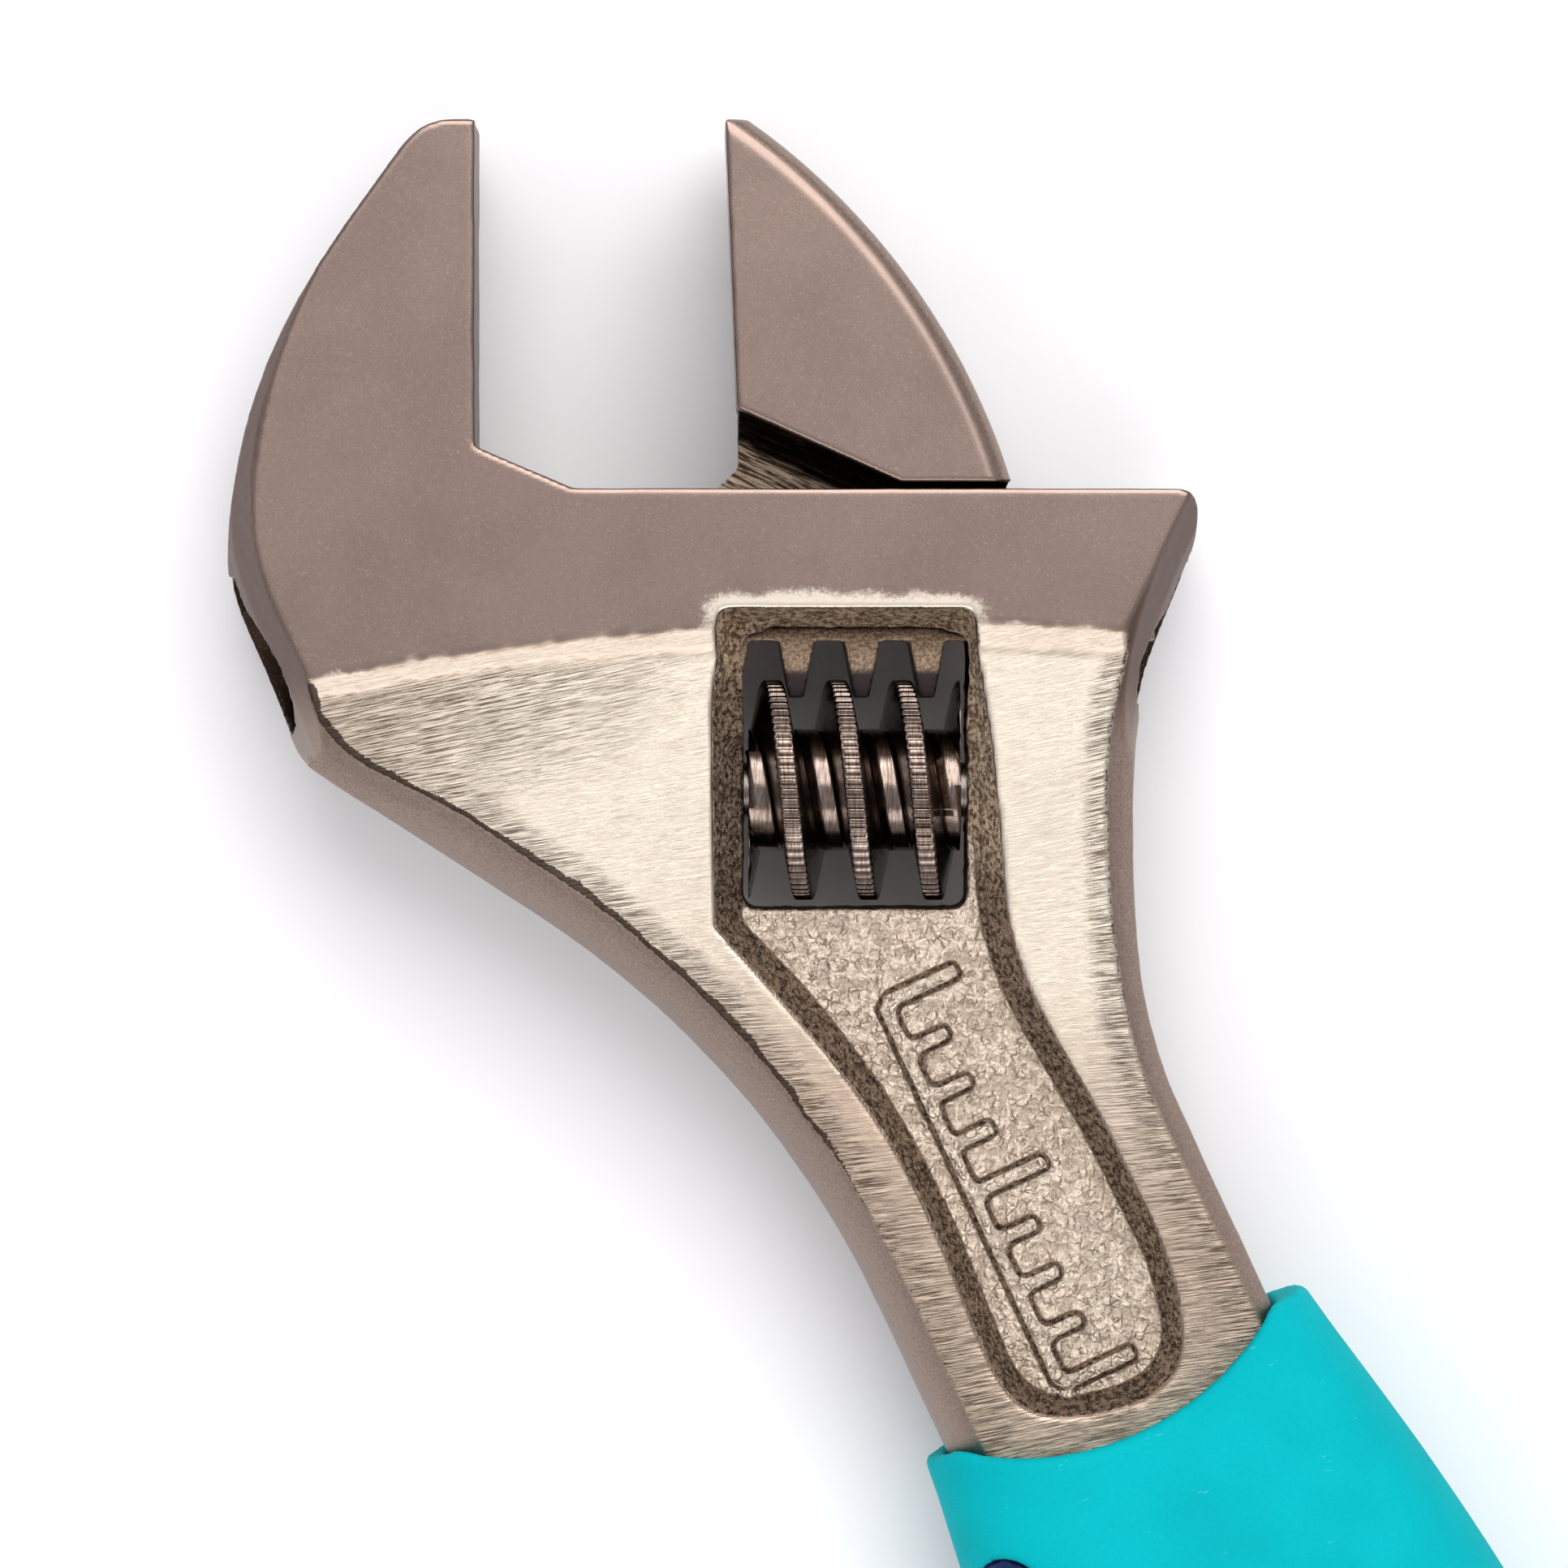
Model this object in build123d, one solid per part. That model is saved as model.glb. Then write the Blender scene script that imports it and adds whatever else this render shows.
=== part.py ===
from build123d import *
import math
import os

# Adjustable wrench, nominal 150 mm / 6 in, in millimetres.
# Origin: the fixed jaw's gripping face, at mid-thickness, 9.5 mm above the ledge under the movable jaw.
# +X runs along the rail, in the direction the movable jaw opens. +Y points out of the jaws.
# +Z is the thickness.

# ---- head and jaws ----
head_half = 5.5            # half thickness of the ground head
jaw_tip_y = 7.9            # reach of both jaw tips
ledge_y = -9.5             # ledge under the movable jaw
throat_y = -7.5            # lower end of the fixed gripping face
throat_x = 4.65            # where the sloped throat meets the ledge
head_right_x = 33.2        # right end of the ledge, before its rounded corner
opening_at_rest = 11.8     # gap between the jaw tips as stored
toe_in = math.radians(2.4) # the free movable jaw leans in by this much
outer_round = 1.1          # radius along the movable jaw's back
heel_y = -5.73             # lower end of the movable gripping face
toe_x = 20.1               # its sloped heel meets the ledge line here
back_x = 25.35             # the jaw's back meets the ledge line here
tip_land_x = 12.89         # width of the jaw tip

# ---- thickness of the forging ----
# Contours of equal thickness are arcs about one far centre, so the ground head ends in a shallow arch.
arch_top = (20.0, -15.8)   # top of the arch where the ground head stops
arch_radius = 145.0
ground_step = 1.2          # width of the bevel below the ground head
waist_half = 4.95          # half thickness at the foot of that bevel
shank_drop = 30.0          # the shank has its final thickness this far below the arch
shank_half = 4.2
side_round_foot = 0.8      # the barrelled side stays square this far from mid-thickness
draft_foot = 0.4           # the head's drafted side starts this far from mid-thickness
side_clear = 5.75          # height just above the faces, where side cutters end

# ---- shank and grip, along the handle axis ----
handle_angle = 25.0        # handle axis from -Y, towards +X
handle_root = (25.8, -42.6)
shank_width = 17.0
shank_end = 17.0           # distances below are along the handle axis from its root
tang_start = 21.0
tang_end = 86.0
tang_width = 12.0
tang_half = 3.0
grip_start = 10.1
grip_end = 101.0
hang_hole_at = 92.5
hang_hole_r = 3.0
eyelet_wall = 1.6
lip_radius = 13.6          # the grip's front edge is scalloped around the panel
lip_depth_at = 12.8
lip_shift = 0.3            # the scallop's centre is this far right of the handle axis
core_inset = 1.7           # thickness of the soft cover
corner_share = 0.43        # the grip's section has corners of this share of its height

# ---- rail, rack, channel ----
rail_y = -17.8             # axis of the round rail
rail_r = 3.2
channel_r = 3.26
neck_half = 2.1            # half thickness of the web between jaw and rail
neck_left = 12.4           # the web's left edge under the jaw
neck_flare = 1.3           # it flares out to the left by this much where it enters the slot
neck_right = 25.2
slot_half = 2.2
rib_top_y = -13.9          # the rail's rib, which keys it in the narrow slot
slot_roof_y = -13.7        # the slot's roof under the fixed jaw
rail_left = 5.3
rail_right = 32.2
rack_pitch = 3.1           # also the pitch of the worm
rack_root_y = -16.7
rack_tip_y = -19.4
tooth_base = 1.7
tooth_slope = math.tan(math.radians(10.5))
first_tooth_x = 15.2

# ---- worm, pin, spring ----
worm_y = -23.8
worm_r = 5.25
worm_root_r = 2.85
worm_crest = 0.85
worm_left = 12.93
worm_right = 23.02
worm_bore_r = 1.36
worm_phase_x = 17.15       # a crest faces the rack here
spring_seat_r = 2.2
spring_seat_depth = 3.0
spring_wire_r = 0.17
spring_mean_r = 1.78
pin_r = 1.3
pin_head_r = 1.9
pin_left = 8.2
pin_right = 31.0
pin_fit = 0.03             # clearance round the pin in the forging
pin_head_gap = 0.12        # the pin's head stops this short of the window
pin_slot_half = 0.3        # screwdriver slot
pin_slot_depth = 0.8

# ---- worm window and forged panel ----
window_left, window_right = 12.75, 23.2
window_top, window_bottom = -16.4, -29.3
panel_floor = 2.5          # height of the recessed floor above mid-thickness
panel_draft = 32.0
relief_height = 0.45       # the tick scale stands this proud of the floor
first_tick = -10.6         # along the handle axis
tick_step = 2.5
tick_count = 9
tick_foot = -2.2           # across the handle axis, where every tick starts
tick_width = 0.8
long_tick, short_tick = 3.9, 2.3
window_corner = 0.5
bank_half = 3.6            # half thickness left beside the window where the channel passes
past = 12.0                # how far cutters run past what they cut

along = (math.sin(math.radians(handle_angle)), -math.cos(math.radians(handle_angle)))
across = (along[1] * -1, along[0])
to_handle = Location((handle_root[0], handle_root[1], 0), (0, 0, handle_angle - 90))


def at_handle(s, t):
    """The point s along the handle axis and t across it."""
    return (handle_root[0] + along[0] * s + across[0] * t, handle_root[1] + along[1] * s + across[1] * t)


def box_between(low, high):
    size = [b - a for a, b in zip(low, high)]
    centre = [(a + b) / 2 for a, b in zip(low, high)]
    return Pos(*centre) * Box(*size)


def rod(x_from, x_to, radius, y, z=0.0):
    """A round bar along X."""
    middle = Location(((x_from + x_to) / 2, y, z), (0, 90, 0))
    return middle * Cylinder(radius, x_to - x_from)


def slab(outline, half):
    """A plan outline made solid, from -half to +half."""
    return Pos(0, 0, -half) * extrude(make_face(outline), 2 * half)


# ---------------------------------------------------------------- forged body

belly_corner = (-8.4, -22.45)     # where the head's side turns into the belly line
neck_corner = (13.73, -36.84)     # where the belly line would meet the shank's left side
belly_start = (-10.9, -16.7)
waist_foot = at_handle(0.0, shank_width / 2)


def left_edge():
    """Outer edge from the fixed jaw's tip, round the belly, down the shank's left side."""
    jaw = Spline(
        (-1.0, jaw_tip_y), (-3.96, 6.0), (-9.0, -1.7), (-11.5, -9.4), (-11.85, -12.9), belly_start,
        tangents=[(-1, 0), (belly_corner[0] - belly_start[0], belly_corner[1] - belly_start[1])],
    )
    belly = FilletPolyline(
        belly_start, belly_corner, neck_corner, at_handle(shank_end, -shank_width / 2), radius=[3.0, 45.0]
    )
    return jaw, belly


def right_edge():
    """Outer edge from the head's right corner, down the waist and the shank's right side."""
    corner = Spline((head_right_x, ledge_y), (34.25, -11.0), tangents=[(1, 0), (-0.05, -1)])
    waist = Spline(
        (34.25, -11.0), (33.2, -15.0), (31.8, -19.0), (31.2, -26.7), waist_foot,
        tangents=[(-0.05, -1), along],
    )
    shank = Line(waist_foot, at_handle(shank_end, shank_width / 2))
    return corner, waist, shank


def body_outline():
    face = Polyline(
        (-1.0, jaw_tip_y), (0, jaw_tip_y), (0, throat_y), (throat_x, ledge_y), (head_right_x, ledge_y)
    )
    end = Line(at_handle(shank_end, -shank_width / 2), at_handle(shank_end, shank_width / 2))
    return Curve() + [*left_edge(), face, *right_edge(), end]


def thickness_profile():
    """The forging's two faces: flat ground head, bevel, long taper, then the even shank."""
    top = [
        (arch_radius + 45, head_half), (arch_radius, head_half), (arch_radius - ground_step, waist_half),
        (arch_radius - shank_drop, shank_half), (arch_radius - 70, shank_half),
    ]
    ring = top + [(r, -z) for r, z in reversed(top)]
    face = make_face(Plane.XZ * Polyline(*ring, close=True))
    return Pos(arch_top[0], arch_top[1] - arch_radius, 0) * revolve(face, Axis.Z)


def barrel_side(up):
    """Section of the barrelled side: distance out from its path, then height."""
    foot, shoulder = (0, up * side_round_foot), (-2.1, up * 4.55)
    return [ThreePointArc(foot, (-0.78, up * 3.0), shoulder), Line(shoulder, (-3.4, up * side_clear))]


def draft_side(up):
    """Section of the head's forged side, which leans in from mid-thickness to the face."""
    line = [(0, draft_foot), (-0.9, 3.26), (-2.0, head_half), (-2.15, side_clear)]
    return [Polyline(*[(out, up * height) for out, height in line])]


def side_cutter(path, outward_turn, side):
    """What is outside a shaped side, swept down a plan path. Cuts the upper half.

    outward_turn is 1 where the outside lies to the left of the path, and -1 to the right.
    """
    reach = 3.0
    forward = path % 0
    outward = Vector(0, 0, outward_turn).cross(forward)
    plane = Plane(origin=path @ 0, x_dir=outward, z_dir=forward)
    up = 1 if plane.y_dir.Z > 0 else -1
    section = Curve() + side(up)
    foot, top = section @ 0, section @ 1
    section = section + Polyline(top, (reach, top.Y), (reach, foot.Y), foot)
    return sweep(plane * make_face(section), path=path)


def side_paths():
    """Each side's path, the way its outside lies, and its section."""
    line_dir = (neck_corner[0] - belly_corner[0], neck_corner[1] - belly_corner[1])
    join = (-1.0, belly_corner[1] + line_dir[1] / line_dir[0] * (-1.0 - belly_corner[0]))
    ease = Spline(
        (-4.6, 10.6), (-6.9, 7.6), (-11.6, -0.6), (-13.6, -9.4), (-13.6, -13.2), (-11.6, -18.2),
        (-7.6, -23.7), join, tangents=[(-0.6, -0.8), line_dir],
    )
    belly = FilletPolyline(join, neck_corner, at_handle(shank_end + 2, -shank_width / 2), radius=[45.0])
    waist = Spline(
        (37.5, -9.0), (34.9, -14.6), (32.9, -19.0), (32.1, -26.7), at_handle(0.0, shank_width / 2 + 0.8),
        tangents=[(-0.4, -1), along],
    )
    shank = Line(at_handle(0.0, shank_width / 2 + 0.8), at_handle(shank_end + 2, shank_width / 2 + 0.8))
    head_left = Spline(
        (-4.2, 9.6), (-6.0, 7.2), (-10.6, -1.2), (-12.5, -9.25), (-12.3, -12.95), (-10.95, -16.75),
        (-8.4, -22.6),
    )
    head_right = Spline(
        (37.0, -8.2), (35.3, -11.2), (33.6, -14.9), (32.3, -19.0), (32.3, -24.0), (34.4, -31.0)
    )
    return [
        (Wire([ease.edge(), *belly.edges()]), -1, barrel_side),
        (Wire([waist.edge(), shank.edge()]), 1, barrel_side),
        (Wire([head_left.edge()]), -1, draft_side),
        (Wire([head_right.edge()]), 1, draft_side),
    ]


def shaped_sides(solid):
    """Both long sides barrelled above and below, easing off at the jaw tip and the ledge.

    The head's sides are drafted above mid-thickness only, where the upper die was deeper.
    """
    for path, outward_turn, side in side_paths():
        cutter = side_cutter(path, outward_turn, side)
        solid = solid - cutter
        if side is barrel_side:
            solid = solid - mirror(cutter, about=Plane.XY)
    return solid


def pocket_outline(grow, height):
    """Plan outline of the forged recess, its floor's outline when grow is 0."""
    def out(x, y, out_x, out_y):
        return (x + out_x * grow, y + out_y * grow, height)

    left_high = out(12.6, -19.0, -1.0, 0)
    top_left = out(12.6, -16.3, -0.6, 0.6)
    top_right = out(23.15, -16.3, 0.2, 0.6)
    right_high = out(23.3, -19.5, 0.7, 0)
    shoulder = out(23.8, -29.0, 1, 0)
    right_low = out(32.5, -48.6, 1, 0)
    bottom = out(29.3, -52.3, 0.1, -1)
    left_low = out(25.2, -50.4, -0.9, -0.5)
    knee = out(12.6, -30.0, -1, -0.2)
    right_side = [out(25.2, -33.8, 0.9, 0.4), out(28.4, -39.4, 0.85, 0.5), out(31.1, -44.6, 0.9, 0.4)]
    left_side = [out(23.0, -44.9, -0.9, -0.4), out(19.5, -38.2, -0.85, -0.5), out(14.6, -32.0, -0.75, -0.7)]
    return Curve() + [
        Polyline(knee, left_high, top_left, top_right, right_high, shoulder),
        Spline(shoulder, *right_side, right_low, tangents=[(0.1, -1), (0.2, -1)]),
        Spline(right_low, bottom, left_low, tangents=[(0.2, -1), (-0.4, 1)]),
        Spline(left_low, *left_side, knee, tangents=[(-0.4, 1), (-0.7, 0.7)]),
    ]


def panel_pocket():
    """The forged recess round the worm window and down the shank, drafted walls."""
    rise = head_half - panel_floor + 0.6
    spread = rise * math.tan(math.radians(panel_draft))
    floor = make_face(pocket_outline(0, panel_floor))
    mouth = make_face(pocket_outline(spread, panel_floor + rise))
    return loft([floor, mouth], ruled=True)


def scale_relief():
    """A plain raised tick scale on the panel floor: a spine and bars across it."""
    top = panel_floor + relief_height
    spine = tick_step * (tick_count - 1)
    spine_box = Box(spine, tick_width, top)
    bars = [to_handle * (Pos(first_tick + spine / 2, tick_foot, top / 2) * spine_box)]
    for i in range(tick_count):
        length = long_tick if i % 4 == 0 else short_tick
        tick = Box(tick_width, length, top)
        bars.append(to_handle * (Pos(first_tick + tick_step * i, tick_foot + length / 2, top / 2) * tick))
    return bars


def window_cheeks():
    """Low banks on both sides of the window's upper end, which keep the rail's channel covered."""
    low_y, high_y = rail_y - channel_r - 0.4, window_top + 1.6
    left = box_between((window_left - 2, low_y, -bank_half), (window_left + 1, high_y, bank_half))
    right = box_between((window_right - 1, low_y, -bank_half), (window_right + 1.6, high_y, bank_half))
    return left + right


def worm_window():
    window = box_between((window_left, window_bottom, -past), (window_right, window_top, past))
    return fillet(window.edges().filter_by(Axis.Z), window_corner)


def rail_channel():
    """The round bore right across the head, and the narrow slot above it for the jaw's web."""
    left, right = -past - 5, 36 + past
    slot_left = -1.3
    bore = rod(left, right, channel_r, rail_y)
    low_slot = box_between((left, rail_y, -slot_half), (right, slot_roof_y, slot_half))
    web_slot = box_between((slot_left, rail_y, -slot_half), (right, throat_y - 0.3, slot_half))
    return bore + low_slot + web_slot


def wrench_body():
    solid = slab(body_outline(), head_half + 0.3) & thickness_profile()
    solid = shaped_sides(solid)
    pocket = panel_pocket()
    solid = solid - pocket - mirror(pocket, about=Plane.XY)
    solid = solid + window_cheeks()
    for bar in scale_relief():
        solid = solid + bar + mirror(bar, about=Plane.XY)
    solid = solid - worm_window() - rail_channel()
    solid = solid - rod(window_right - 1, pin_right + 3, pin_head_r + pin_fit, worm_y)
    solid = solid - rod(pin_left - 0.1, window_left + 1, pin_r + pin_fit, worm_y)
    return solid + tang()


def tang():
    """The flat bar that runs on inside the grip."""
    half = tang_width / 2
    shoulder = shank_width / 2 - 1
    chamfer = 3.0
    start = shank_end - 0.01
    one_side = [
        (start, shoulder), (tang_start, half), (tang_end - chamfer, half), (tang_end, half - chamfer)
    ]
    other_side = [(s, -t) for s, t in reversed(one_side)]
    plan = Polyline(*[at_handle(s, t) for s, t in one_side + other_side], close=True)
    return slab(plan, tang_half)


# ---------------------------------------------------------------- movable jaw

def jaw_block():
    """The full-thickness jaw above the ledge. Its back is one arc."""
    base_y = ledge_y + 0.3
    heel_x = opening_at_rest + (jaw_tip_y - heel_y) * math.tan(toe_in)
    outline = Curve() + [
        Polyline(
            (tip_land_x, jaw_tip_y), (opening_at_rest, jaw_tip_y), (heel_x, heel_y), (toe_x, base_y),
            (back_x, base_y),
        ),
        ThreePointArc((back_x, base_y), (21.3, -0.7), (tip_land_x, jaw_tip_y)),
    ]
    block = slab(outline, head_half)
    back_edges = block.faces().filter_by(GeomType.CYLINDER).edges().filter_by(GeomType.CIRCLE)
    return fillet(back_edges, outer_round)


def jaw_neck():
    """The web that joins the jaw to its rail. It stops short of the rack."""
    foot_y = rack_root_y + 0.5
    flared_x = neck_left - neck_flare
    outline = Polyline(
        (neck_left, -4.0), (neck_left, -8.5), (flared_x, -9.7), (flared_x, foot_y),
        (neck_right, foot_y), (neck_right, -9.3), (22.4, -4.0), close=True,
    )
    return slab(outline, neck_half)


def movable_jaw():
    rail = rod(rail_left, rail_right, rail_r, rail_y)
    rail = rail + box_between((rail_left, rail_y, -neck_half), (rail_right, rib_top_y, neck_half))
    rail = rail - box_between((rail_left - 1, rack_tip_y - 3, -past), (rail_right + 1, rack_tip_y, past))
    for i in range(-4, 6):
        valley_x = first_tooth_x + rack_pitch * (i + 0.5)
        root_half = (rack_pitch - tooth_base) / 2
        low_half = root_half + tooth_slope * (rack_root_y - rack_tip_y + 2)
        valley = Polyline(
            (valley_x - root_half, rack_root_y), (valley_x + root_half, rack_root_y),
            (valley_x + low_half, rack_tip_y - 2), (valley_x - low_half, rack_tip_y - 2), close=True,
        )
        rail = rail - slab(valley, past)
    return jaw_block() + jaw_neck() + rail


# ---------------------------------------------------------------- worm, pin, spring

def adjusting_worm():
    """Right-hand single-start worm on its bored core."""
    flank = math.tan(math.radians(10.0)) * (worm_r - worm_root_r)
    length = 6 * rack_pitch
    start_x = worm_phase_x - length / 2
    sunk = 0.5
    helix = Helix(rack_pitch, length, worm_root_r)
    root = worm_crest / 2 + flank
    height = worm_r - worm_root_r
    ridge = Polyline(
        (-sunk, -root), (0, -root), (height, -worm_crest / 2), (height, worm_crest / 2), (0, root),
        (-sunk, root), close=True,
    )
    plane = Plane(origin=helix @ 0, x_dir=(1, 0, 0), z_dir=(0, 1, 0))
    thread = sweep(plane * make_face(ridge), path=helix, is_frenet=True)
    upright = thread + Pos(0, 0, length / 2) * Cylinder(worm_root_r + 0.01, length + 4)
    # local Z becomes +X, local X becomes +Y
    turn = Plane(origin=(start_x, worm_y, 0), x_dir=(0, 1, 0), z_dir=(1, 0, 0))
    worm = turn * upright
    reach = worm_r + 3
    worm = worm & box_between((worm_left, worm_y - reach, -reach), (worm_right, worm_y + reach, reach))
    worm = worm - rod(worm_left - 1, worm_right + 1, worm_bore_r, worm_y)
    return worm - rod(worm_left - 1, worm_left + spring_seat_depth, spring_seat_r, worm_y)


def worm_pin():
    """Stepped pin with a screwdriver slot, entered from the right side."""
    pin = rod(pin_left, pin_right, pin_r, worm_y)
    pin = pin + rod(window_right + pin_head_gap, pin_right, pin_head_r, worm_y)
    slot_low = (pin_right - pin_slot_depth, worm_y - pin_head_r - 1, -pin_slot_half)
    slot_high = (pin_right + 1, worm_y + pin_head_r + 1, pin_slot_half)
    return pin - box_between(slot_low, slot_high)


def worm_spring():
    """Small compression spring between the window's left wall and the worm's seat."""
    left = window_left + spring_wire_r + 0.02
    right = worm_left + spring_seat_depth - spring_wire_r - 0.03
    coil = Helix(0.72, right - left, spring_mean_r)
    wire = sweep(Plane(origin=coil @ 0, z_dir=coil % 0) * Circle(spring_wire_r), path=coil, is_frenet=True)
    turn = Plane(origin=(left, worm_y, 0), x_dir=(0, 1, 0), z_dir=(1, 0, 0))
    return turn * wire


# ---------------------------------------------------------------- grip

# Stations along the handle: distance, left edge, right edge, half thickness.
grip_stations = [
    (8.1, -9.5, 10.0, 5.9), (20.0, -10.9, 12.3, 6.6), (35.0, -12.5, 13.9, 7.3), (55.0, -12.3, 13.0, 7.4),
    (75.0, -11.0, 11.2, 7.0), (90.0, -10.6, 10.6, 6.7), (97.0, -8.9, 8.9, 6.3), (grip_end, -5.0, 5.0, 4.6),
]


def grip_section(station, inset):
    s, low, high, half = station
    width = high - low - 2 * inset
    height = 2 * (half - inset)
    x, y = at_handle(s, (low + high) / 2)
    plane = Plane(origin=(x, y, 0), x_dir=(across[0], across[1], 0), z_dir=(along[0], along[1], 0))
    return plane * RectangleRounded(width, height, height * corner_share)


def grip_outer():
    return loft([grip_section(station, 0) for station in grip_stations])


def grip_inner():
    """The hard core's shape under the soft cover."""
    inner = [(23.0, -11.2, 12.5, 6.7)] + grip_stations[2:-2] + [(95.0, -9.3, 9.3, 6.4)]
    return loft([grip_section(station, core_inset) for station in inner])


def inlay_prism():
    """Where the core comes up through windows in the cover, on both faces."""
    front, back = (15.5, -8.7), (84.0, 0.0)
    right = [front, (20.5, -6.4), (32.0, -1.4), (50.0, 3.4), (72.0, 4.6), back]
    left = [back, (72.0, -4.6), (50.0, -6.6), (32.0, -8.6), (20.5, -9.3), front]
    back_across = (-across[0], -across[1])
    outline = Curve() + [
        Spline(*[at_handle(s, t) for s, t in right], tangents=[across, back_across]),
        Spline(*[at_handle(s, t) for s, t in left], tangents=[back_across, across]),
    ]
    return slab(outline, past)


def lip_cutter():
    x, y = at_handle(lip_depth_at - lip_radius, lip_shift)
    return Pos(x, y, 0) * Cylinder(lip_radius, 2 * past)


def eyelet(radius):
    x, y = at_handle(hang_hole_at, 0)
    return Pos(x, y, 0) * Cylinder(radius, 2 * past)


def front_trim():
    """Everything ahead of the grip's front end."""
    x, y = at_handle(grip_start - 20, 0)
    return Location((x, y, 0), (0, 0, handle_angle)) * Box(60, 40, 2 * past)


def grip_pair(steel):
    outer = grip_outer() - lip_cutter() - front_trim()
    outer = outer - eyelet(hang_hole_r)
    filler = grip_inner() + inlay_prism() + eyelet(hang_hole_r + eyelet_wall)
    core = (outer & filler) - steel
    cover = outer - filler - steel
    return core, cover


def main():
    os.makedirs("parts", exist_ok=True)
    steel = wrench_body()
    core, cover = grip_pair(steel)
    nodes = {
        "wrench_body": steel,
        "movable_jaw": movable_jaw(),
        "adjusting_worm": adjusting_worm(),
        "worm_pin": worm_pin(),
        "worm_spring": worm_spring(),
        "grip_core": core,
        "grip_cover": cover,
    }
    for name, shape in nodes.items():
        export_step(shape, f"parts/{name}.step")


main()
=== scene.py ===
import math
import bpy
import bmesh
import numpy as np
from mathutils import Matrix, Vector


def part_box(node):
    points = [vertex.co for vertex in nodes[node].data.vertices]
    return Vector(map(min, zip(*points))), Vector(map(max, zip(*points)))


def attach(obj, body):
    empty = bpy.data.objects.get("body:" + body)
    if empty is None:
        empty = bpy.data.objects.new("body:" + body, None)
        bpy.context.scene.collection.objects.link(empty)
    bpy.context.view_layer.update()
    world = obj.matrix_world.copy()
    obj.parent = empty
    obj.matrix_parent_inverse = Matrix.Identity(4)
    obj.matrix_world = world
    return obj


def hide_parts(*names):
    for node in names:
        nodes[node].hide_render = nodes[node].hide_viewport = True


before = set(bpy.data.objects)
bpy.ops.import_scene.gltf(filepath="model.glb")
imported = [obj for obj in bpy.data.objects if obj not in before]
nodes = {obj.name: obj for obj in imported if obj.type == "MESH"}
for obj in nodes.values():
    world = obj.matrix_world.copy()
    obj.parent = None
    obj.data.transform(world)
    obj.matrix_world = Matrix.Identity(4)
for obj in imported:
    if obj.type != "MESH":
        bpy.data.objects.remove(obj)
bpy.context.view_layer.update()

MM = 0.001

# ---------------------------------------------------------------- places, in mm, from the frame


def box_mm(name):
    low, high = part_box(name)
    return np.array(low) / MM, np.array(high) / MM


HEAD_HALF = box_mm("wrench_body")[1][2]
GRIP_BOTTOM = box_mm("grip_cover")[0][2]
worm_low, worm_high = box_mm("adjusting_worm")
WORM_R = (worm_high[1] - worm_low[1]) / 2
WORM_Y = (worm_high[1] + worm_low[1]) / 2

# the forging's half thickness: HEAD_HALF at the head, then below the bevel, then at the shank
WAIST_HALF = 4.95
SHANK_HALF = 4.2
ARCH = np.array([20.0, -15.8])     # top of the arch that ends the ground head
ARCH_R = 145.0
BEVEL = 1.2                        # plan width of the bevel below it
TAPER = 30.0                       # plan length from the arch to the even shank
HANDLE_ANGLE = math.radians(25.0)
HANDLE_ROOT = np.array([25.8, -42.6])
ALONG = np.array([math.sin(HANDLE_ANGLE), -math.cos(HANDLE_ANGLE)])
ACROSS = np.array([math.cos(HANDLE_ANGLE), math.sin(HANDLE_ANGLE)])
SHANK_END = 17.0                   # along the handle from its root, inside the grip
WINDOW = np.array([(12.75, -29.3), (23.2, -16.4)])
CHANNEL_Y = -17.8                  # axis of the bore that holds the jaw's rail
CHANNEL_R = 3.26
SLOT_HALF = 2.2                    # half width of the slot that the jaw's neck runs in
GRAINY_BELOW = -15.6               # the rail and its rack are grainy below this
HEEL = np.array([12.37, -5.73])    # left end of the movable jaw's sloped heel
HEEL_ANGLE = math.radians(24.2)

# ---------------------------------------------------------------- mesh tools

HASH_PRIMES = np.array([73856093, 19349663, 83492791])


def value_noise(points, cell, seed):
    """Smooth value noise from -1 to 1 at points (N, 3), with features about one cell long."""
    table = np.random.default_rng(seed).random(4096) * 2 - 1
    scaled = points / cell
    corner = np.floor(scaled).astype(np.int64)
    part = scaled - corner
    part = part * part * (3 - 2 * part)
    total = np.zeros(len(points))
    for dx in (0, 1):
        for dy in (0, 1):
            for dz in (0, 1):
                steps = corner + np.array([dx, dy, dz])
                key = np.bitwise_xor.reduce(steps * HASH_PRIMES, axis=1)
                weight = (
                    (part[:, 0] if dx else 1 - part[:, 0])
                    * (part[:, 1] if dy else 1 - part[:, 1])
                    * (part[:, 2] if dz else 1 - part[:, 2])
                )
                total += weight * table[key & 4095]
    return total


def smoothstep(low, high, x):
    t = np.clip((x - low) / (high - low), 0, 1)
    return t * t * (3 - 2 * t)


def read_mesh(mesh):
    co = np.empty(len(mesh.vertices) * 3)
    mesh.vertices.foreach_get("co", co)
    normals = np.empty(len(mesh.vertices) * 3)
    mesh.vertex_normals.foreach_get("vector", normals)
    return co.reshape(-1, 3), normals.reshape(-1, 3)


def write_points(mesh, co):
    mesh.vertices.foreach_set("co", np.ascontiguousarray(co, dtype=np.float32).ravel())
    mesh.update()


def edge_pairs(mesh):
    pairs = np.empty(len(mesh.edges) * 2, dtype=np.int64)
    mesh.edges.foreach_get("vertices", pairs)
    return pairs.reshape(-1, 2)


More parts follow.
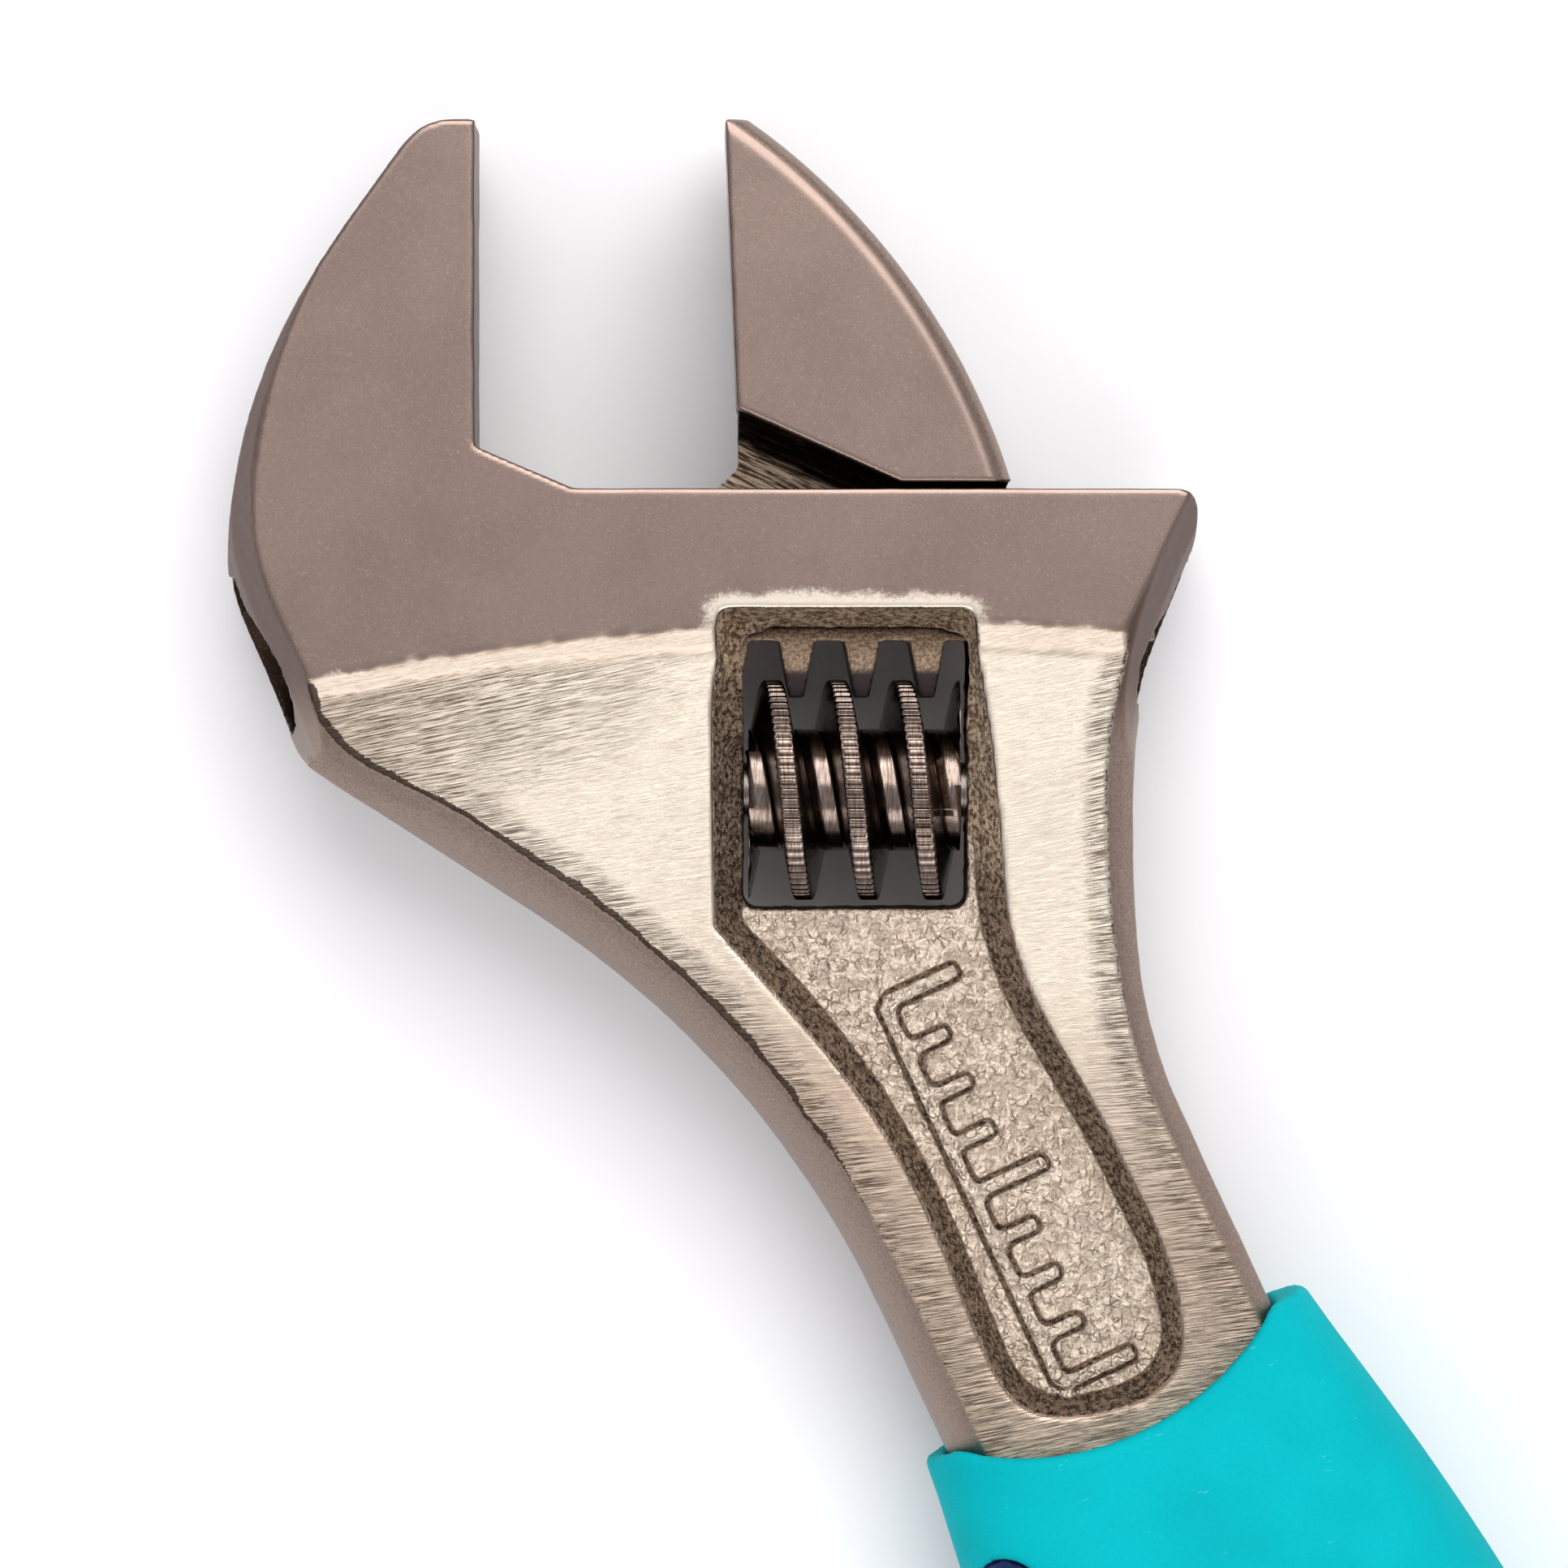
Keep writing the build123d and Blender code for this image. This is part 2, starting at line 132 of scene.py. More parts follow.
def neighbour_mean(co, pairs):
    total = np.zeros_like(co)
    count = np.zeros(len(co))
    for a, b in ((0, 1), (1, 0)):
        for axis in range(co.shape[1]):
            total[:, axis] += np.bincount(pairs[:, a], weights=co[pairs[:, b], axis], minlength=len(co))
        count += np.bincount(pairs[:, a], minlength=len(co))
    return total / np.maximum(count, 1)[:, None]


def smooth_points(co, pairs, rounds):
    """Taubin smoothing, which rounds corners and jags without shrinking the shape."""
    shrink, grow = 0.5, -0.52
    for _ in range(rounds):
        co = co + shrink * (neighbour_mean(co, pairs) - co)
        co = co + grow * (neighbour_mean(co, pairs) - co)
    return co


def add_attribute(mesh, name, values):
    layer = mesh.attributes.new(name, "FLOAT", "POINT")
    layer.data.foreach_set("value", np.ascontiguousarray(values, dtype=np.float32))


def evaluated_copy(ob):
    bpy.context.view_layer.update()
    deps = bpy.context.evaluated_depsgraph_get()
    result = ob.evaluated_get(deps)
    return bpy.data.meshes.new_from_object(result, preserve_all_data_layers=False, depsgraph=deps)


def remeshed(node_name, voxel):
    """The CAD node's shape as an even quad mesh in mm."""
    source = nodes[node_name].data.copy()
    bm = bmesh.new()
    bm.from_mesh(source)
    bmesh.ops.scale(bm, vec=Vector((1 / MM, 1 / MM, 1 / MM)), verts=bm.verts)
    bmesh.ops.remove_doubles(bm, verts=bm.verts, dist=1e-4)
    bm.to_mesh(source)
    bm.free()
    source.materials.clear()
    helper = bpy.data.objects.new("helper", source)
    bpy.context.scene.collection.objects.link(helper)
    mod = helper.modifiers.new("remesh", "REMESH")
    mod.mode = "VOXEL"
    mod.voxel_size = voxel
    mod.adaptivity = 0.0
    mesh = evaluated_copy(helper)
    bpy.data.objects.remove(helper)
    return mesh


def make_piece(name, mesh, material, body, node_name):
    """Links a finished mm mesh as a piece that stands for a CAD node."""
    mesh.name = name
    co, _ = read_mesh(mesh)
    write_points(mesh, co * MM)
    mesh.materials.clear()
    mesh.materials.append(material)
    mesh.polygons.foreach_set("use_smooth", np.ones(len(mesh.polygons), dtype=bool))
    ob = bpy.data.objects.new(name, mesh)
    bpy.context.scene.collection.objects.link(ob)
    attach(ob, body)
    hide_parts(node_name)
    return ob


# ---------------------------------------------------------------- material tools


class Nodes:
    """A small helper for building a node tree."""

    def __init__(self, name):
        self.material = bpy.data.materials.new(name)
        self.material.use_nodes = True
        self.tree = self.material.node_tree
        self.tree.nodes.clear()
        self.out = self.add("ShaderNodeOutputMaterial")
        self.shader = self.add("ShaderNodeBsdfPrincipled")
        self.link(self.shader.outputs["BSDF"], self.out.inputs["Surface"])
        self.coords = self.add("ShaderNodeTexCoord").outputs["Object"]

    def add(self, kind, **settings):
        node = self.tree.nodes.new(kind)
        for key, value in settings.items():
            setattr(node, key, value)
        return node

    def link(self, a, b):
        self.tree.links.new(a, b)

    def put(self, socket, value):
        if isinstance(value, bpy.types.NodeSocket):
            self.link(value, socket)
        else:
            socket.default_value = value

    def attribute(self, name):
        return self.add("ShaderNodeAttribute", attribute_name=name).outputs["Fac"]

    def mapped(self, scale, turn=0.0):
        """Object coordinates in mm, turned about Z, then scaled."""
        spin = self.add("ShaderNodeMapping", vector_type="POINT")
        self.link(self.coords, spin.inputs["Vector"])
        spin.inputs["Rotation"].default_value = (0, 0, -turn)
        stretch = self.add("ShaderNodeMapping", vector_type="POINT")
        self.link(spin.outputs["Vector"], stretch.inputs["Vector"])
        stretch.inputs["Scale"].default_value = [value / MM for value in scale]
        return stretch.outputs["Vector"]

    def noise_at(self, place, detail, rough, output="Fac"):
        node = self.add("ShaderNodeTexNoise")
        self.link(place, node.inputs["Vector"])
        node.inputs["Scale"].default_value = 1.0
        node.inputs["Detail"].default_value = detail
        node.inputs["Roughness"].default_value = rough
        return node.outputs[output]

    def noise(self, scale, turn=0.0, detail=3.0, rough=0.5):
        """Noise with features 1 / scale mm long in each direction."""
        return self.noise_at(self.mapped(scale, turn), detail, rough)

    def strokes(self, scale, detail=3.0, rough=0.5):
        """Noise drawn out along the brush strokes stored on the mesh."""
        place = self.add("ShaderNodeCombineXYZ")
        self.link(self.times(self.attribute("stroke_u"), scale[0]), place.inputs["X"])
        self.link(self.times(self.attribute("stroke_v"), scale[1]), place.inputs["Y"])
        return self.noise_at(place.outputs["Vector"], detail, rough)

    def cells(self, size, wobble):
        """0 on the walls of irregular cells, growing inwards. Cell size in mm."""
        push = self.noise_at(self.mapped((3.0, 3.0, 3.0)), detail=2.0, rough=0.5, output="Color")
        shift = self.add("ShaderNodeVectorMath", operation="MULTIPLY_ADD")
        self.link(push, shift.inputs[0])
        shift.inputs[1].default_value = (wobble, wobble, wobble)
        self.link(self.mapped((1 / size, 1 / size, 1 / size)), shift.inputs[2])
        node = self.add("ShaderNodeTexVoronoi", feature="DISTANCE_TO_EDGE")
        self.link(shift.outputs["Vector"], node.inputs["Vector"])
        node.inputs["Scale"].default_value = 1.0
        return node.outputs["Distance"]

    def math(self, operation, a, b):
        node = self.add("ShaderNodeMath", operation=operation)
        self.put(node.inputs[0], a)
        self.put(node.inputs[1], b)
        return node.outputs[0]

    def times(self, a, b):
        return self.math("MULTIPLY", a, b)

    def plus(self, a, *others):
        for other in others:
            a = self.math("ADD", a, other)
        return a

    def larger(self, a, b):
        return self.math("MAXIMUM", a, b)

    def spread(self, value, low, high, to_low=0.0, to_high=1.0):
        """Maps low to high smoothly onto to_low to to_high."""
        node = self.add("ShaderNodeMapRange", interpolation_type="SMOOTHSTEP")
        self.put(node.inputs["Value"], value)
        node.inputs["From Min"].default_value = low
        node.inputs["From Max"].default_value = high
        node.inputs["To Min"].default_value = to_low
        node.inputs["To Max"].default_value = to_high
        return node.outputs["Result"]

    def mix(self, factor, a, b):
        """Colour mix."""
        node = self.add("ShaderNodeMix", data_type="RGBA")
        self.put(node.inputs["Factor"], factor)
        self.put(node.inputs[6], a)
        self.put(node.inputs[7], b)
        return node.outputs[2]

    def blend(self, factor, a, b):
        """Number mix."""
        node = self.add("ShaderNodeMix", data_type="FLOAT")
        self.put(node.inputs["Factor"], factor)
        self.put(node.inputs[2], a)
        self.put(node.inputs[3], b)
        return node.outputs[0]

    def bump(self, height):
        """Height is in mm."""
        node = self.add("ShaderNodeBump")
        self.put(node.inputs["Height"], height)
        node.inputs["Distance"].default_value = MM
        node.inputs["Strength"].default_value = 1.0
        return node.outputs["Normal"]

    def finish(self, colour, roughness, normal=None, metallic=1.0, **constants):
        self.put(self.shader.inputs["Base Color"], colour)
        self.put(self.shader.inputs["Roughness"], roughness)
        self.shader.inputs["Metallic"].default_value = metallic
        for key, value in constants.items():
            self.shader.inputs[key.replace("_", " ")].default_value = value
        if normal is not None:
            self.link(normal, self.shader.inputs["Normal"])
        return self.material


def rgb(r, g, b):
    """sRGB 0 to 255 as linear RGBA."""
    def linear(v):
        v /= 255
        return v / 12.92 if v <= 0.04045 else ((v + 0.055) / 1.055) ** 2.4
    return (linear(r), linear(g), linear(b), 1.0)


NICKEL = rgb(142, 124, 115)
NICKEL_DULL = rgb(134, 117, 109)
NICKEL_DRAWN = rgb(136, 118, 108)
NICKEL_BRIGHT = rgb(190, 174, 160)
# painted highlight colour, for the sheen, the glints and the highlights on rolled edges
NICKEL_PAINTED_HIGHLIGHT = rgb(231, 219, 202)
SIDE_DARK = rgb(128, 111, 101)
SIDE_PALE = rgb(150, 133, 121)
SIDE_SHADED = rgb(88, 70, 63)
INNER_SHADE_DARK = rgb(50, 38, 30)
INNER_SHADE_SPECKS = rgb(96, 80, 66)
PAINTED_RIM_SHADE = rgb(52, 38, 30)
PAINTED_HIGHLIGHT_PALE = rgb(198, 184, 170)
BRUSHED_DARK, BRUSHED_PALE = rgb(188, 169, 153), rgb(209, 190, 169)
STROKE_BROAD, STROKE_THIN, STROKE_DEEP = rgb(112, 92, 78), rgb(120, 100, 84), rgb(100, 74, 54)
WALL_DARK, WALL_PALE = rgb(54, 41, 32), rgb(158, 136, 116)
WALL_LIT_DARK, WALL_LIT_PALE = rgb(108, 85, 66), rgb(226, 204, 176)
PEBBLE_DARK, PEBBLE_PALE, CREVICE = rgb(208, 190, 172), rgb(244, 230, 213), rgb(96, 76, 60)
WEB_DARK, WEB_PALE, WEB_SCAR = rgb(92, 72, 56), rgb(226, 208, 184), rgb(52, 40, 30)
HEEL_SHADE_DARK, HEEL_SHADE_PALE = rgb(20, 14, 10), rgb(66, 50, 38)
RACK_DARK, RACK_PALE, RACK_TIP_SHADE = rgb(112, 94, 78), rgb(158, 138, 118), rgb(58, 50, 50)
WORM_DARK, WORM_PALE, WORM_OIL = rgb(92, 80, 74), rgb(134, 120, 112), rgb(50, 40, 34)
PIN_DARK, PIN_PALE = rgb(110, 104, 100), rgb(170, 162, 156)
WIRE_DARK, WIRE_PALE = rgb(120, 116, 112), rgb(176, 170, 166)
TURQUOISE_DEEP, TURQUOISE = rgb(0, 163, 172), rgb(0, 172, 181)
TURQUOISE_GRAIN, TURQUOISE_SCUFF = rgb(0, 140, 152), rgb(120, 206, 212)
NAVY_DEEP, NAVY = rgb(4, 30, 72), rgb(6, 38, 84)
PAPER = (0.86, 0.86, 0.88, 1)


# ---------------------------------------------------------------- materials


def head_colour(m, fine):
    """Satin ground nickel, a little cloudy, with a faint drawn grain and pale specks."""
    cloud = m.noise((0.16, 0.16, 0.16), detail=3)
    drawn = m.noise((1.2, 9, 4), turn=math.radians(58), detail=4, rough=0.65)
    smudge = m.noise((0.5, 1.4, 0.5), turn=math.radians(30), detail=4, rough=0.6)
    colour = m.mix(m.spread(cloud, 0.35, 0.65), NICKEL_DULL, NICKEL)
    colour = m.mix(m.times(m.spread(smudge, 0.55, 0.8), 0.35), colour, NICKEL_DULL)
    colour = m.mix(m.times(m.spread(drawn, 0.35, 0.7), 0.22), colour, NICKEL_DRAWN)
    return m.mix(m.times(m.spread(fine, 0.58, 0.72), 0.5), colour, NICKEL_BRIGHT)


def hairlines(m):
    """A few short fine scratches running two ways, 0 to 1."""
    one = m.noise((0.8, 22, 8), turn=math.radians(62), detail=1)
    two = m.noise((0.8, 22, 8), turn=math.radians(-28), detail=1)
    where = m.noise((0.4, 0.4, 0.4), detail=2)
    lines = m.larger(m.spread(one, 0.74, 0.8), m.spread(two, 0.76, 0.82))
    return m.times(lines, m.spread(where, 0.5, 0.62))


def ground_surface(m, fine, lines):
    """Satin ground face. Each surface gives its colour, roughness and height in mm."""
    height = m.plus(m.times(fine, 0.003), m.times(lines, -0.004))
    return head_colour(m, fine), m.spread(fine, 0.3, 0.7, 0.27, 0.34), height


def brushed_surface(m):
    """Taper and shank, brushed along the stroke coordinates stored on the mesh, with a painted sheen where
    the face reflects the light.
    """
    streak = m.strokes((0.35, 15), detail=4, rough=0.6)
    hair = m.strokes((0.8, 38), detail=3, rough=0.6)
    long_streak = m.strokes((0.3, 7), detail=3, rough=0.55)
    gouge = m.spread(m.blend(0.5, streak, hair), 0.49, 0.58)
    scrubbed = m.times(gouge, m.attribute("scrub"))
    colour = m.mix(m.spread(long_streak, 0.35, 0.65), BRUSHED_DARK, BRUSHED_PALE)
    colour = m.mix(m.times(m.spread(streak, 0.46, 0.62), 0.30), colour, STROKE_BROAD)
    # painted sheen: paler where the brushed face reflects the light most
    colour = m.mix(m.attribute("painted_sheen"), colour, NICKEL_PAINTED_HIGHLIGHT)
    colour = m.mix(m.times(m.spread(hair, 0.45, 0.64), 0.24), colour, STROKE_THIN)
    colour = m.mix(m.times(scrubbed, 0.85), colour, STROKE_DEEP)
    height = m.plus(m.times(streak, 0.018), m.times(hair, 0.008), m.times(scrubbed, -0.02))
    return colour, m.spread(streak, 0.3, 0.7, 0.36, 0.28), height


def wall_surface(m, fine, cast, sparkle):
    """Dark cast walls of the recess with sparkles, paler round the lit side of the window."""
    lit = m.attribute("collar")
    # painted light: the walls round the window are paler on their lit side
    low = m.mix(lit, WALL_DARK, WALL_LIT_DARK)
    high = m.mix(lit, WALL_PALE, WALL_LIT_PALE)
    patch = m.blend(0.5, cast, m.noise((3.4, 3.4, 3.4), detail=3, rough=0.6))
    colour = m.mix(m.spread(patch, 0.43, 0.58), low, high)
    colour = m.mix(m.times(sparkle, 0.85), colour, NICKEL_PAINTED_HIGHLIGHT)
    height = m.plus(m.times(cast, 0.26), m.times(fine, 0.05))
    return colour, m.spread(cast, 0.3, 0.7, 0.46, 0.26), height


def pebbled_surface(m, grain, cast):
    """Panel floor like hammered leather, with broken dark cracks between the pebbles."""
    pebble = m.cells(0.46, 0.9)
    broken = m.spread(m.noise((1.7, 1.7, 1.7), detail=3), 0.38, 0.66)
    crack = m.times(m.spread(pebble, 0.01, 0.10, 1.0, 0.0), broken)
    crack = m.larger(crack, m.attribute("hollow"))
    colour = m.mix(m.spread(grain, 0.3, 0.7), PEBBLE_DARK, PEBBLE_PALE)
    colour = m.mix(m.times(crack, 0.75), colour, CREVICE)
    swell = m.times(m.spread(pebble, 0.0, 0.32), 0.055)
    height = m.plus(m.times(cast, 0.10), m.times(crack, -0.03), swell)
    return colour, m.spread(grain, 0.3, 0.7, 0.24, 0.34), height


def forged_nickel():
    """Nickel plate over a forging: ground face, brushed taper, cast-rough recess, satin sides."""
    m = Nodes("forged_nickel")
    ground = m.attribute("ground")
    inner = m.attribute("inner")
    grain = m.noise((8, 8, 8), detail=4, rough=0.6)
    fine = m.noise((13, 13, 13), detail=3, rough=0.6)
    cast = m.noise((4.5, 4.5, 4.5), detail=6, rough=0.7)
    sparkle = m.spread(fine, 0.58, 0.68)
    lines = hairlines(m)

    # the satin sides lie at the bottom, and each surface covers them where the mesh marks it
    colour = m.mix(m.spread(grain, 0.35, 0.65), SIDE_DARK, SIDE_PALE)
    # painted shade: the sides are darker towards the jaws
    colour = m.mix(m.times(m.attribute("upper"), 0.9), colour, SIDE_SHADED)
    rough = m.spread(grain, 0.3, 0.7, 0.36, 0.46)
    height = m.times(grain, 0.006)
    layers = (
        (ground, ground_surface(m, fine, lines)),
        (m.attribute("brushed"), brushed_surface(m)),
        (m.attribute("recess"), wall_surface(m, fine, cast, sparkle)),
        (m.attribute("floor"), pebbled_surface(m, grain, cast)),
    )
    for weight, (layer_colour, layer_rough, layer_height) in layers:
        colour = m.mix(weight, colour, layer_colour)
        rough = m.blend(weight, rough, layer_rough)
        height = m.blend(weight, height, layer_height)

    # scratches, painted highlights on the rolled edges and the arch's bevel, a dark rim of painted shade, and
    # painted shade with pale specks in the window, the channel and the slot
    fuzz = m.times(m.math("SUBTRACT", m.noise((5, 5, 5), detail=5, rough=0.75), 0.5), 1.3)
    painted_highlight = m.spread(m.plus(m.attribute("painted_highlight"), fuzz), 0.22, 0.78)
    rim = m.spread(m.plus(m.attribute("rim"), fuzz), 0.36, 0.56)
    colour = m.mix(m.times(lines, m.times(ground, 0.5)), colour, NICKEL_BRIGHT)
    # painted highlight on the rolled edges and the arch's bevel
    colour = m.mix(painted_highlight, colour, m.mix(ground, PAINTED_HIGHLIGHT_PALE, NICKEL_PAINTED_HIGHLIGHT))
    # painted shade along the edge between the brushed face and the side
    colour = m.mix(m.times(rim, 0.9), colour, PAINTED_RIM_SHADE)
    # painted shade inside the window, the channel and the slot, with pale specks
    colour = m.mix(inner, colour, m.mix(sparkle, INNER_SHADE_DARK, INNER_SHADE_SPECKS))
    rough = m.blend(m.larger(rim, inner), rough, 0.5)
    return m.finish(colour, rough, m.bump(height))


def jaw_nickel():
    """Nickel plate on the movable jaw: ground faces, broached web, grainy rack."""
    m = Nodes("jaw_nickel")
    ground = m.attribute("ground")
    web = m.attribute("web")
    heel_shade = m.attribute("heel_shade")
    rack = m.attribute("rack")
    heel_turn = -HEEL_ANGLE
    grain = m.noise((8, 8, 8), detail=4, rough=0.6)
    fine = m.noise((13, 13, 13), detail=3, rough=0.6)
    cast = m.noise((6, 6, 6), detail=5, rough=0.7)
    scars = m.noise((0.45, 7, 3), turn=heel_turn, detail=5, rough=0.7)
    thin_scars = m.noise((0.9, 22, 6), turn=heel_turn, detail=3, rough=0.6)
    lines = hairlines(m)

    web_colour = m.mix(m.spread(scars, 0.44, 0.56), WEB_DARK, WEB_PALE)
    web_colour = m.mix(m.times(m.spread(thin_scars, 0.55, 0.65), 0.6), web_colour, WEB_SCAR)
    # painted shade on the web under the heel's overhanging wall
    web_colour = m.mix(heel_shade, web_colour, m.mix(m.spread(scars, 0.5, 0.66), HEEL_SHADE_DARK, HEEL_SHADE_PALE))
    rack_colour = m.mix(m.spread(cast, 0.42, 0.58), RACK_DARK, RACK_PALE)
    colour = m.mix(m.spread(grain, 0.35, 0.65), SIDE_DARK, SIDE_PALE)
    colour = m.mix(ground, colour, head_colour(m, fine))
    colour = m.mix(m.times(lines, m.times(ground, 0.5)), colour, NICKEL_BRIGHT)
    colour = m.mix(web, colour, web_colour)
    # painted shade on the lower ends of the rack's teeth
    colour = m.mix(rack, colour, m.mix(m.attribute("shaded_tips"), rack_colour, RACK_TIP_SHADE))

    rough = m.blend(ground, m.spread(grain, 0.3, 0.7, 0.28, 0.38), m.spread(fine, 0.3, 0.7, 0.27, 0.34))
    rough = m.blend(m.larger(web, rack), rough, 0.32)
    height = m.blend(ground, m.times(grain, 0.004), m.times(fine, 0.003))
    web_height = m.plus(m.times(scars, 0.16), m.times(thin_scars, 0.03))
    height = m.blend(web, height, web_height)
    height = m.blend(rack, height, m.times(cast, 0.07))
    return m.finish(colour, rough, m.bump(height))


def dark_nickel():
    """Turned and knurled worm, darker than the forging, with a trace of oil."""
    m = Nodes("dark_nickel")
    turned = m.noise((14, 0.9, 0.9), detail=4, rough=0.6)
    speck = m.noise((4, 4, 4), detail=4, rough=0.7)
    colour = m.mix(m.spread(turned, 0.35, 0.65), WORM_DARK, WORM_PALE)
    colour = m.mix(m.times(m.spread(speck, 0.58, 0.72), 0.6), colour, WORM_OIL)
    rough = m.spread(speck, 0.35, 0.7, 0.14, 0.26)
    height = m.plus(m.times(turned, 0.004), m.times(speck, 0.006))
    return m.finish(colour, rough, m.bump(height))


def turned_steel(name, dark, light):
    """Plain steel with fine lines round the X axis."""
    m = Nodes(name)
    lines = m.noise((20, 2, 2), detail=3, rough=0.6)
    height = m.times(lines, 0.004)
    colour = m.mix(m.spread(lines, 0.35, 0.65), dark, light)
    return m.finish(colour, m.spread(lines, 0.3, 0.7, 0.24, 0.4), m.bump(height))


def soft_cover():
    """Turquoise elastomer with a fine moulded grain and a few pale scuffs."""
    m = Nodes("turquoise_elastomer")
    grain = m.noise((8, 8, 8), detail=3, rough=0.6)
    orange_peel = m.noise((1.6, 1.6, 1.6), detail=2)
    cloud = m.noise((0.15, 0.15, 0.15), detail=2)
    scuff = m.noise((0.9, 14, 9), turn=math.radians(20), detail=2, rough=0.4)
    where = m.noise((0.55, 0.55, 0.55), detail=1)
    colour = m.mix(m.spread(cloud, 0.3, 0.7), TURQUOISE_DEEP, TURQUOISE)
    colour = m.mix(m.times(m.spread(grain, 0.4, 0.62), 0.15), colour, TURQUOISE_GRAIN)
    marks = m.times(m.spread(scuff, 0.70, 0.74), m.spread(where, 0.60, 0.66))
    colour = m.mix(m.times(marks, 0.6), colour, TURQUOISE_SCUFF)
    rough = m.spread(grain, 0.3, 0.7, 0.66, 0.76)
    height = m.plus(m.times(grain, 0.006), m.times(orange_peel, 0.012))
    return m.finish(colour, rough, m.bump(height), metallic=0.0, IOR=1.4, Specular_IOR_Level=0.08)


def hard_core():
    """Navy plastic with a spark-eroded grain."""
    m = Nodes("navy_plastic")
    grain = m.noise((6, 6, 6), detail=4, rough=0.65)
    cloud = m.noise((0.2, 0.2, 0.2), detail=2)
    colour = m.mix(m.spread(cloud, 0.3, 0.7), NAVY_DEEP, NAVY)
    rough = m.spread(grain, 0.3, 0.7, 0.46, 0.6)
    height = m.times(grain, 0.02)
    return m.finish(colour, rough, m.bump(height), metallic=0.0, IOR=1.45, Specular_IOR_Level=0.25)


# ---------------------------------------------------------------- pieces

BODY_VOXEL = 0.17
JAW_VOXEL = 0.12
COVER_VOXEL = 0.3
CORE_VOXEL = 0.35


def face_height(co):
    """Height of the forging's face above mid-thickness at each point."""
    reach = np.hypot(co[:, 0] - ARCH[0], co[:, 1] - (ARCH[1] - ARCH_R))
    return np.interp(reach, [ARCH_R - TAPER, ARCH_R - BEVEL, ARCH_R], [SHANK_HALF, WAIST_HALF, HEAD_HALF])


# Mouth of the forged recess round the window and down the shank.
RECESS = np.array([
    (11.3, -15.0), (23.7, -15.0), (24.9, -19.5), (25.4, -28.5), (26.7, -33.0), (29.9, -38.6), (32.7, -43.9),
    (34.3, -48.3), (33.2, -52.4), (29.4, -54.2), (25.0, -52.8), (21.5, -45.5), (18.0, -38.9), (13.5, -33.1),
    (11.0, -30.6), (10.4, -19.0),
])


def inside(outline, points):
    """Even-odd test of points (N, 2) against a plan outline."""
    hit = np.zeros(len(points), dtype=bool)
    x, y = points[:, 0], points[:, 1]
    for (ax, ay), (bx, by) in zip(outline, np.roll(outline, -1, axis=0)):
        crosses = (ay > y) != (by > y)
        at = ax + (y - ay) / (by - ay if by != ay else 1e-9) * (bx - ax)
        hit ^= crosses & (x < at)
    return hit


def blurred(values, pairs, rounds):
    """Values averaged over the mesh, so that they fade across their edges."""
    values = values[:, None].astype(float)
    for _ in range(rounds):
        values = 0.4 * values + 0.6 * neighbour_mean(values, pairs)
    return values[:, 0]


def relaxed(co, pairs, weight, rounds):
    """Plain smoothing where weight is 1, which rounds inner and outer corners there."""
    for _ in range(rounds):
        co = co + 0.6 * weight[:, None] * (neighbour_mean(co, pairs) - co)
    return co


def refine(mesh, chosen):
    """Splits every edge whose two ends are chosen."""
    bm = bmesh.new()
    bm.from_mesh(mesh)
    edges = [e for e in bm.edges if chosen[e.verts[0].index] and chosen[e.verts[1].index]]
    bmesh.ops.subdivide_edges(bm, edges=edges, cuts=1, use_grid_fill=True)
    bm.to_mesh(mesh)
    bm.free()


